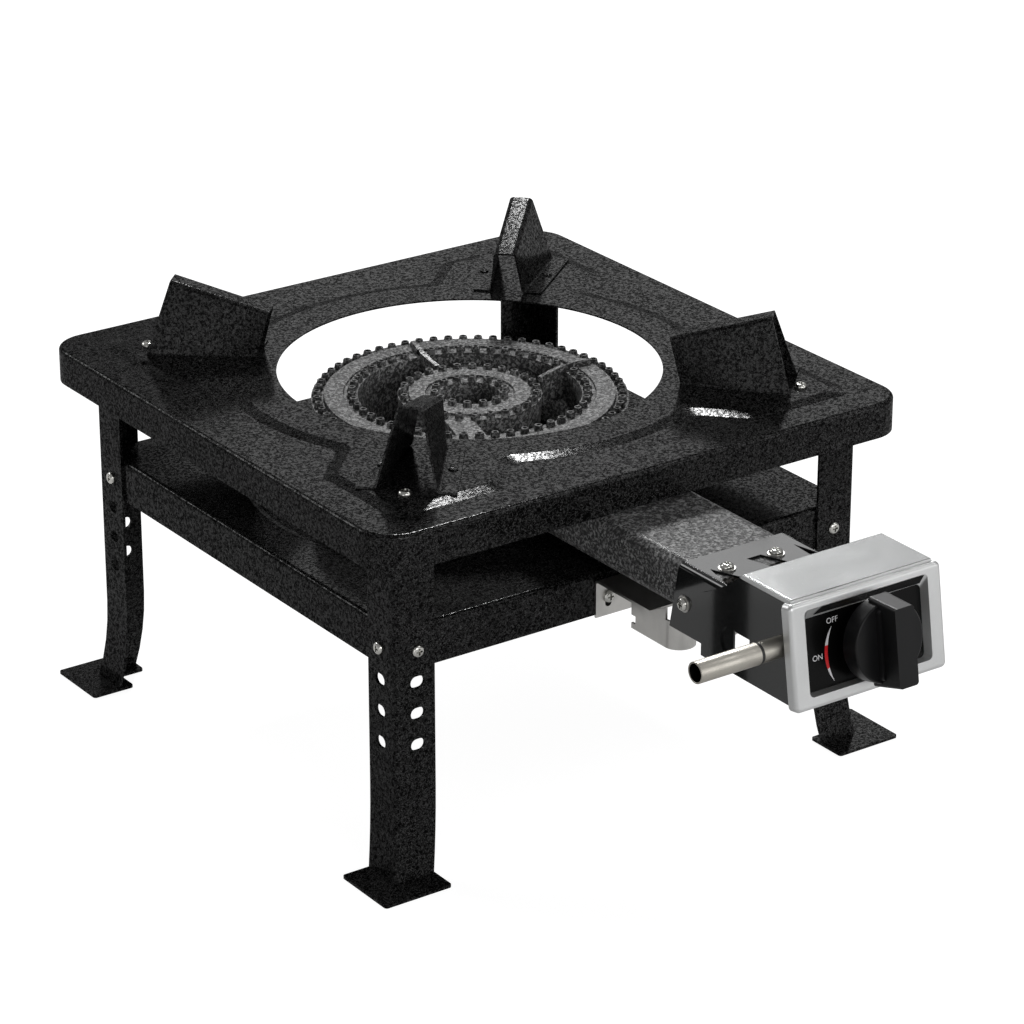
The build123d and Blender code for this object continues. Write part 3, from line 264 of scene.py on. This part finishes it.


# satin silver casting, its flat top smoother, and painted shade makes the top darker than its face
def satinSilver(name, size):
    material, surface, place = newMaterial(name, Metallic=size["metal"])
    grain = place.noise(2600, roughness=0.6)
    cloud = place.noise(30, detail=3.0)
    tone = grain.between(0.3, 0.7) * 0.5 + cloud.between(0.3, 0.7) * 0.5
    top = place.part("Z") > size["topHeight"]
    rough = tone.between(0.0, 1.0, size["rough"] * 0.9, size["rough"] * 1.1)
    connect(
        surface,
        # painted shade: above topHeight the colour turns to a darker grey, set by how the light falls on
        # the top
        Base_Color=top.blend(tone.blend(size["dark"], size["light"]), size["paintedTopShade"]),
        Roughness=rough - top * size["smoother"],
        Normal=grain.bump(0.3, 0.0001),
    )
    return material


bezelMetal = satinSilver("bezelMetal", {
    "metal": 0.8, "dark": (0.535, 0.54, 0.54), "light": (0.595, 0.6, 0.6), "rough": 0.4,
    "topHeight": 0.2184, "paintedTopShade": (0.29, 0.295, 0.295), "smoother": 0.2,
})


# plated or bare metal; its streaks run across the axis with the largest stretch
def bareMetal(name, dark, light, rough, stretch=(60, 60, 60), grain=0.00003, bore=None):
    material, surface, place = newMaterial(name, Metallic=1.0)
    drawn = place.node("ShaderNodeMapping", {}, {"Vector": place, "Scale": stretch})
    streak = drawn.noise(20, detail=3.0, roughness=0.6)
    cloud = place.noise(45, detail=3.0, roughness=0.55)
    tone = streak.between(0.3, 0.7) * 0.5 + cloud.between(0.3, 0.7) * 0.5
    shade = tone.blend(dark, light)
    # painted shade: a given bore is painted near black inside its radius, for the shade down the tube
    if bore:
        away = (place.part("Y") - bore["y"]).away(place.part("Z") - bore["z"])
        shade = (away < bore["radius"]).blend(shade, grey(bore["dark"]))
    connect(
        surface,
        Base_Color=shade,
        Roughness=tone.between(0.0, 1.0, rough * 1.25, rough * 0.8),
        Normal=streak.bump(0.3, grain),
    )
    return material


inletPlace = {"x": -0.0981, "y": -0.355, "z": 0.1889}  # the nipple's open end

zinc = bareMetal("zinc", (0.44, 0.435, 0.42), (0.52, 0.51, 0.49), 0.34, (3, 3, 3), 0.00001)
screwZinc = bareMetal("screwZinc", (0.4, 0.4, 0.38), (0.58, 0.57, 0.54), 0.22, (12, 12, 12))
# the nipple's bore is painted near black: painted shade inside the tube
nickel = bareMetal(
    "nickel", (0.36, 0.343, 0.31), (0.45, 0.43, 0.385), 0.42, (900, 12, 12),
    bore={"y": inletPlace["y"], "z": inletPlace["z"], "radius": 0.0053, "dark": 0.01},
)
brass = bareMetal("brass", (0.5, 0.36, 0.14), (0.72, 0.54, 0.26), 0.28)
springSteel = bareMetal("springSteel", (0.4, 0.4, 0.4), (0.6, 0.6, 0.6), 0.3)

finishes = {
    "enamel": enamel, "casting": casting, "black_paint": blackPaint, "bezel_metal": bezelMetal,
    "dial_black": dialBlack, "knob_plastic": knobPlastic, "zinc": zinc, "spring_steel": springSteel,
    "brass": brass, "inlet_metal": nickel, "rubber": rubber,
}
slots = {part["node"]: part["material_slot"] for part in frame["record"]["subparts"]}
for name, thing in nodes.items():
    thing.data.materials.clear()
    thing.data.materials.append(finishes[slots[name]])
print("materials laid on")


# select these alone, or nothing
def only(*things):
    bpy.ops.object.select_all(action="DESELECT")
    for thing in things:
        thing.select_set(True)
    if things:
        bpy.context.view_layer.objects.active = things[0]


# in edit mode, select the faces or edges that pass a test
def pick(test, kind="FACE"):
    bpy.ops.mesh.select_mode(type=kind)
    bpy.ops.mesh.select_all(action="DESELECT")
    mesh = bmesh.from_edit_mesh(bpy.context.object.data)
    for item in mesh.faces if kind == "FACE" else mesh.edges:
        if test(item):
            item.select_set(True)
    bmesh.update_edit_mesh(bpy.context.object.data)


def height(face):
    return face.calc_center_median().z


def pull(distance):
    bpy.ops.mesh.extrude_region_move(TRANSFORM_OT_translate={"value": (0, 0, distance)})


# a cylinder that stands on z = 0, open in edit mode
def standingRound(vertices, radius, rise):
    only()
    bpy.ops.mesh.primitive_cylinder_add(
        vertices=vertices, radius=radius, depth=rise, location=(0, 0, rise / 2)
    )
    bpy.ops.object.transform_apply()
    bpy.ops.object.mode_set(mode="EDIT")
    return bpy.context.object


# the top edge of a head becomes its dome
def roundTop(size):
    pick(lambda edge: min(v.co.z for v in edge.verts) > size["rise"] * 0.9, "EDGE")
    bpy.ops.mesh.bevel(
        offset=size["rise"] * size["domeShare"], segments=size["domeSteps"], profile=0.5, affect="EDGES"
    )


# the shank comes out of the head's flat underside
def pullShank(size):
    pick(lambda face: face.normal.z < -0.9 and height(face) < size["rise"] * 0.1)
    bpy.ops.mesh.inset(thickness=size["head"] - size["shank"])
    pull(-size["reach"])


smoothAngle = math.radians(35)


# a piece gets its name, finish and body, and stands in for the nodes named last
def finished(piece, name, material, slotName, body, *stoodFor):
    piece.name = name
    piece.data.materials.clear()
    piece.data.materials.append(material)
    only(piece)
    bpy.ops.object.shade_smooth_by_angle(angle=smoothAngle)
    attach(piece, body)
    if stoodFor:
        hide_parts(*stoodFor)


# a model is copied to its places, each a point and three turns, and the copies are joined
def setAt(model, places):
    made = []
    for point, turns in places:
        only(model)
        bpy.ops.object.duplicate()
        copy = bpy.context.object
        copy.location = point
        copy.rotation_euler = turns
        bpy.ops.object.transform_apply()
        made.append(copy)
    bpy.data.objects.remove(model)
    if len(made) > 1:
        only(*made)
        bpy.ops.object.join()
    return made[0]


# a point of the plan turned about the burner's axis
def turned(x, y, turn):
    return x * math.cos(turn) - y * math.sin(turn), x * math.sin(turn) + y * math.cos(turn)


quarterTurns = [quarter * math.pi / 2 for quarter in range(4)]


# two crossed blades that narrow downwards, to cut a screw's recess
def crossBlades(size):
    top = (0, 0, size["rise"])
    only()
    bpy.ops.mesh.primitive_cube_add(size=1, location=top)
    blades = bpy.context.object
    bpy.ops.object.mode_set(mode="EDIT")
    bpy.ops.transform.resize(
        value=(size["cross"], size["slot"], size["rise"] * size["deep"]), center_override=top
    )
    pick(lambda face: face.normal.z < -0.9)
    bpy.ops.transform.resize(value=(*size["taper"], 1), center_override=top)
    bpy.ops.mesh.select_all(action="SELECT")
    bpy.ops.mesh.duplicate()
    bpy.ops.transform.rotate(value=math.pi / 2, orient_axis="Z", center_override=(0, 0, 0))
    bpy.ops.object.mode_set(mode="OBJECT")
    return blades


# pan-head screw with a cross recess, its seat at z = 0
def crossScrew(size):
    screw = standingRound(28, size["head"], size["rise"])
    roundTop(size)
    pullShank(size)
    bpy.ops.object.mode_set(mode="OBJECT")
    blades = crossBlades(size)
    only(screw)
    cut = screw.modifiers.new("cross", "BOOLEAN")
    cut.operation = "DIFFERENCE"
    cut.solver = "EXACT"
    cut.use_self = True
    cut.object = blades
    bpy.ops.object.modifier_apply(modifier="cross")
    bpy.data.objects.remove(blades)
    return screw


screwSize = {
    "head": 0.00398, "rise": 0.0026, "domeShare": 0.78, "domeSteps": 5, "shank": 0.002, "reach": 0.006,
    "cross": 0.0052, "slot": 0.0013, "deep": 1.1, "taper": (0.6, 0.75),
}

plateScrew = {**screwSize, "reach": 0.0078}
plateScrewPlace = {"aside": 0.1435, "seat": 0.2305, "turns": (20, 65, 40, 5)}
plateScrewCorners = [(1, 1), (-1, 1), (-1, -1), (1, -1)]
plateScrewSpots = [
    (
        (i * plateScrewPlace["aside"], j * plateScrewPlace["aside"], plateScrewPlace["seat"]),
        (0, 0, math.radians(turn)),
    )
    for (i, j), turn in zip(plateScrewCorners, plateScrewPlace["turns"])
]
finished(
    setAt(crossScrew(plateScrew), plateScrewSpots),
    "plateScrewHeads", screwZinc, "zinc", "range", "plate_screws",
)

legScrewPlace = {"aside": 0.15235, "face": 0.16785, "height": 0.1445}
legScrewSpots = [
    ((*turned(aside, legScrewPlace["face"], turn), legScrewPlace["height"]), (-math.pi / 2, 0, turn))
    for turn in quarterTurns
    for aside in (legScrewPlace["aside"], -legScrewPlace["aside"])
]
finished(
    setAt(crossScrew(screwSize), legScrewSpots),
    "legScrewHeads", screwZinc, "zinc", "range", "leg_screws",
)

bracketScrewPlace = {"aside": 0.017, "face": -0.16755, "height": 0.1432}
bracketScrewSpots = [
    (
        (side * bracketScrewPlace["aside"], bracketScrewPlace["face"], bracketScrewPlace["height"]),
        (math.pi / 2, 0, 0),
    )
    for side in (-1, 1)
]
finished(
    setAt(crossScrew(screwSize), bracketScrewSpots),
    "bracketScrewHeads", screwZinc, "zinc", "range", "bracket_screws",
)

coverScrew = {**screwSize, "reach": 0.0048}
coverScrewPlace = {
    "left": -0.0213, "right": 0.0136, "line": -0.284, "top": 0.2052,
    "side": 0.0386, "sideLine": -0.2671, "sideHeight": 0.1809,
}
coverScrewSpots = [
    ((coverScrewPlace[edge], coverScrewPlace["line"], coverScrewPlace["top"]), (0, 0, turn))
    for edge, turn in (("left", 0.3), ("right", 1.0))
]
coverScrewSpots += [
    (
        (side * coverScrewPlace["side"], coverScrewPlace["sideLine"], coverScrewPlace["sideHeight"]),
        (0, side * math.pi / 2, 0),
    )
    for side in (-1, 1)
]
finished(
    setAt(crossScrew(coverScrew), coverScrewSpots),
    "coverScrewHeads", screwZinc, "zinc", "range", "cover_screws",
)
print("screws set")


# a closed flat shape with a little thickness: a disc's rim is moved to the outline
def flatShape(points, lift):
    only()
    bpy.ops.mesh.primitive_circle_add(vertices=len(points), radius=0.01, fill_type="NGON")
    piece = bpy.context.object
    for vertex, (x, y) in zip(piece.data.vertices, points):
        vertex.co = (x, y, 0.0)
    bpy.ops.object.mode_set(mode="EDIT")
    bpy.ops.mesh.select_all(action="SELECT")
    bpy.ops.mesh.normals_make_consistent(inside=False)
    pull(lift)
    bpy.ops.mesh.select_all(action="SELECT")
    bpy.ops.mesh.normals_make_consistent(inside=False)
    bpy.ops.object.mode_set(mode="OBJECT")
    return piece


# a stretch of the dial's curved mark, which swells and drifts outwards along its length
def crescent(size, start, end):
    outer, inner = [], []
    for k in range(size["steps"] + 1):
        angle = start + (end - start) * k / size["steps"]
        share = (angle - size["start"]) / (size["end"] - size["start"])
        middle = size["first"] + (size["last"] - size["first"]) * share
        swell = max(math.sin(math.pi * share) ** size["swell"], size["tip"])
        half = size["wide"] / 2 * swell
        x, y = -math.sin(math.radians(angle)), math.cos(math.radians(angle))
        outer.append((x * (middle + half), y * (middle + half)))
        inner.append((x * (middle - half), y * (middle - half)))
    return flatShape(outer + inner[::-1], size["lift"])


def dialWord(text, size, place):
    only()
    bpy.ops.object.text_add(location=(0, 0, 0))
    word = bpy.context.object
    word.data.body = text
    word.data.size = size["tall"]
    word.data.align_x = "CENTER"
    word.data.align_y = "CENTER"
    word.data.extrude = size["lift"] / 2
    word.data.resolution_u = 4
    bpy.ops.object.convert(target="MESH")
    word = bpy.context.object
    word.location = place
    bpy.ops.object.transform_apply()
    return word


# the dial's marks, from the knob's axis on the panel's front; angles run from its top to its left
dialFrame = ((0.0122, -0.36596, 0.18622), (math.radians(81), 0, 0))
dialMarks = {
    "start": 65.0, "redFrom": 88.0, "redTo": 114.0, "end": 130.0, "steps": 14,
    "first": 0.0263, "last": 0.0317, "wide": 0.0022, "swell": 0.8, "tip": 0.04,
    "lift": 0.00006, "tall": 0.0046, "offPlace": (-0.0232, 0.0143, 0), "onPlace": (-0.0348, -0.0046, 0),
}
whiteMarks = [
    dialWord("OFF", dialMarks, dialMarks["offPlace"]),
    dialWord("ON", dialMarks, dialMarks["onPlace"]),
    crescent(dialMarks, dialMarks["start"], dialMarks["redFrom"]),
    crescent(dialMarks, dialMarks["redTo"], dialMarks["end"]),
]
only(*whiteMarks)
bpy.ops.object.join()
finished(setAt(whiteMarks[0], [dialFrame]), "dialPrint", printWhite, "dial_black", "range")
redMark = crescent(dialMarks, dialMarks["redFrom"], dialMarks["redTo"])
finished(setAt(redMark, [dialFrame]), "dialRedMark", printRed, "dial_black", "range")
print("dial printed")

# painted reflection: a dark band laid on the window's upper bevel, where the real bevel mirrors
# something dark
reflectionBandFrame = ((0.01025, -0.36509, 0.20896), (math.radians(118.6), 0, 0))
reflectionBandSize = {
    "outline": [(-0.035, -0.0017), (0.041, -0.0031), (0.041, 0.0037), (-0.031, 0.0037)],
    "lift": 0.0002,
}
reflectionBand = flatShape(reflectionBandSize["outline"], reflectionBandSize["lift"])
finished(setAt(reflectionBand, [reflectionBandFrame]), "windowReflectionBand", dialBlack, "dial_black", "range")
print("window band set")


# rivet with a low dome and a dimple, its seat at z = 0
def rivetHead(size):
    rivet = standingRound(24, size["head"], size["rise"])
    roundTop(size)
    pick(lambda face: face.normal.z > 0.99 and height(face) > size["rise"] * 0.9)
    bpy.ops.mesh.inset(thickness=size["rim"])
    bpy.ops.transform.translate(value=(0, 0, -size["dimple"]))
    pullShank(size)
    bpy.ops.object.mode_set(mode="OBJECT")
    return rivet


rivetSize = {
    "head": 0.0029, "rise": 0.0009, "domeShare": 0.8, "domeSteps": 4, "shank": 0.0015, "reach": 0.0025,
    "rim": 0.000725, "dimple": 0.0002,
}
rivetPlace = {"along": 0.16552, "across": 0.02095, "seat": 0.2317}
rivetSpots = [
    ((*turned(rivetPlace["along"], side * rivetPlace["across"], turn), rivetPlace["seat"]), (0, 0, turn))
    for turn in (math.pi / 4 + quarter for quarter in quarterTurns)
    for side in (-1, 1)
]
finished(
    setAt(rivetHead(rivetSize), rivetSpots),
    "supportRivetHeads", enamel, "enamel", "range", "support_rivets",
)
print("rivets set")


# hose nipple: a thin tube with a rounded mouth at z = 0 and a groove for its seal
def hoseNipple(size):
    nipple = standingRound(64, size["tube"], size["long"])
    pick(lambda face: face.normal.z > 0.9)
    bpy.ops.mesh.inset(thickness=size["tube"] - size["groove"])
    pull(size["seal"])
    pull(0)  # a second rim in the same place, widened to the neck
    wider = size["neck"] / size["groove"]
    bpy.ops.transform.resize(value=(wider, wider, 1), center_override=(0, 0, size["long"]))
    pull(size["inner"])
    pick(lambda face: face.normal.z < -0.9)
    bpy.ops.mesh.inset(thickness=size["tube"] - size["bore"])
    pull(size["deep"])
    pick(lambda edge: max(v.co.z for v in edge.verts) < 1e-5, "EDGE")
    bpy.ops.mesh.bevel(offset=size["lip"], segments=3, profile=0.5, affect="EDGES")
    bpy.ops.object.mode_set(mode="OBJECT")
    return nipple


nippleSize = {
    "tube": 0.0063, "groove": 0.0051, "neck": 0.0055, "bore": 0.0052, "long": 0.0415, "seal": 0.002,
    "inner": 0.025, "deep": 0.038, "lip": 0.0004,
}
nippleFrame = ((inletPlace["x"], inletPlace["y"], inletPlace["z"]), (0, math.pi / 2, 0))
finished(
    setAt(hoseNipple(nippleSize), [nippleFrame]),
    "hoseNipple", nickel, "inlet_metal", "range", "gas_inlet",
)
print("nipple set")

# a white floor that keeps the range's shadow, under a white backdrop
studio = {
    "floor": 12, "drop": 0.0005, "bounce": 0.6, "white": (0.9, 0.92), "glow": 1.26, "glowShare": 0.75,
    "mirrorShare": 0.35, "ambient": 0.06,
}
only()
bpy.ops.mesh.primitive_plane_add(size=studio["floor"], location=(0, 0, -studio["drop"]))
floor = bpy.context.object
floor.name = "floor"
floorPaint, floorSurface, floorPlace = newMaterial("floorPaint", Roughness=0.9)
seen = floorPlace.seen(studio["mirrorShare"])
whiteness = floorPlace.noise(3).between(0, 1).blend(*(grey(level) for level in studio["white"]))
connect(floorSurface, Base_Color=seen.blend(grey(studio["bounce"]), whiteness))
glow = floorPlace.node("ShaderNodeEmission", {}, {"Color": grey(1.0), "Strength": studio["glow"]})
lit = Wire(floorPaint.node_tree, floorSurface.outputs[0])
mixed = floorPlace.node("ShaderNodeMixShader", {}, {0: seen * studio["glowShare"], 1: lit, 2: glow})
ending = floorPaint.node_tree.nodes["Material Output"]
connect(ending, Surface=mixed)
floor.data.materials.append(floorPaint)

sky = bpy.data.worlds.new("studio")
bpy.context.scene.world = sky
sky.use_nodes = True
backdrop = sky.node_tree.nodes["Background"]
skySeen = Wire(sky.node_tree, backdrop.outputs[0]).seen(studio["mirrorShare"])
connect(backdrop, Strength=skySeen.between(0.0, 1.0, studio["ambient"], 1.0))
backdrop.inputs["Color"].default_value = (1, 1, 1, 1)


# a rectangular lamp, turned to face its aim
def softbox(name, place, aim, wide, tall, power):
    bpy.ops.object.light_add(type="AREA", location=place)
    lamp = bpy.context.object
    lamp.name = name
    lamp.data.shape = "RECTANGLE"
    lamp.data.size = wide
    lamp.data.size_y = tall
    lamp.data.energy = power
    x, y, z = (a - b for a, b in zip(aim, place))
    rise, heading = math.atan2(z, math.hypot(x, y)), math.atan2(y, x)
    lamp.rotation_euler = (math.pi / 2 + rise, 0, heading - math.pi / 2)


softbox("backLight", (1.15, 1.51, 1.98), (0, 0, 0.2), 0.3, 0.4, 43)
softbox("lowBackLight", (2.05, 2.5, 1.47), (0, 0, 0.2), 1.4, 0.8, 4.6)
softbox("rimLight", (-1.2, 2.3, 1.75), (0, 0, 0.2), 1.6, 0.9, 22)
softbox("leftLight", (-2.6, -1.9, 0.62), (0, 0, 0.25), 1.6, 1.2, 8)
softbox("frontLight", (-0.4, -3.2, 1.3), (0, -0.2, 0.15), 1.6, 1.2, 26)
softbox("rightLight", (1.4, -2.5, 0.75), (0, -0.3, 0.2), 2.4, 1.4, 17)
softbox("topLight", (1.5, -1.15, 2.4), (0, 0, 0.1), 1.0, 1.0, 9)

cameraView = {
    "place": (-1.29085, -1.88103, 1.11871), "dip": 23.365, "heading": 54.891,
    "sensor": 36, "lens": 140.57, "far": 50,
}
bpy.ops.object.camera_add(location=cameraView["place"])
camera = bpy.context.object
camera.rotation_euler = (
    math.radians(90 - cameraView["dip"]), 0, math.radians(cameraView["heading"] - 90)
)
camera.data.sensor_width = cameraView["sensor"]
camera.data.lens = cameraView["lens"]
camera.data.clip_end = cameraView["far"]
bpy.context.scene.camera = camera
bpy.context.scene.view_settings.view_transform = "Standard"
print("stage, light and camera set")
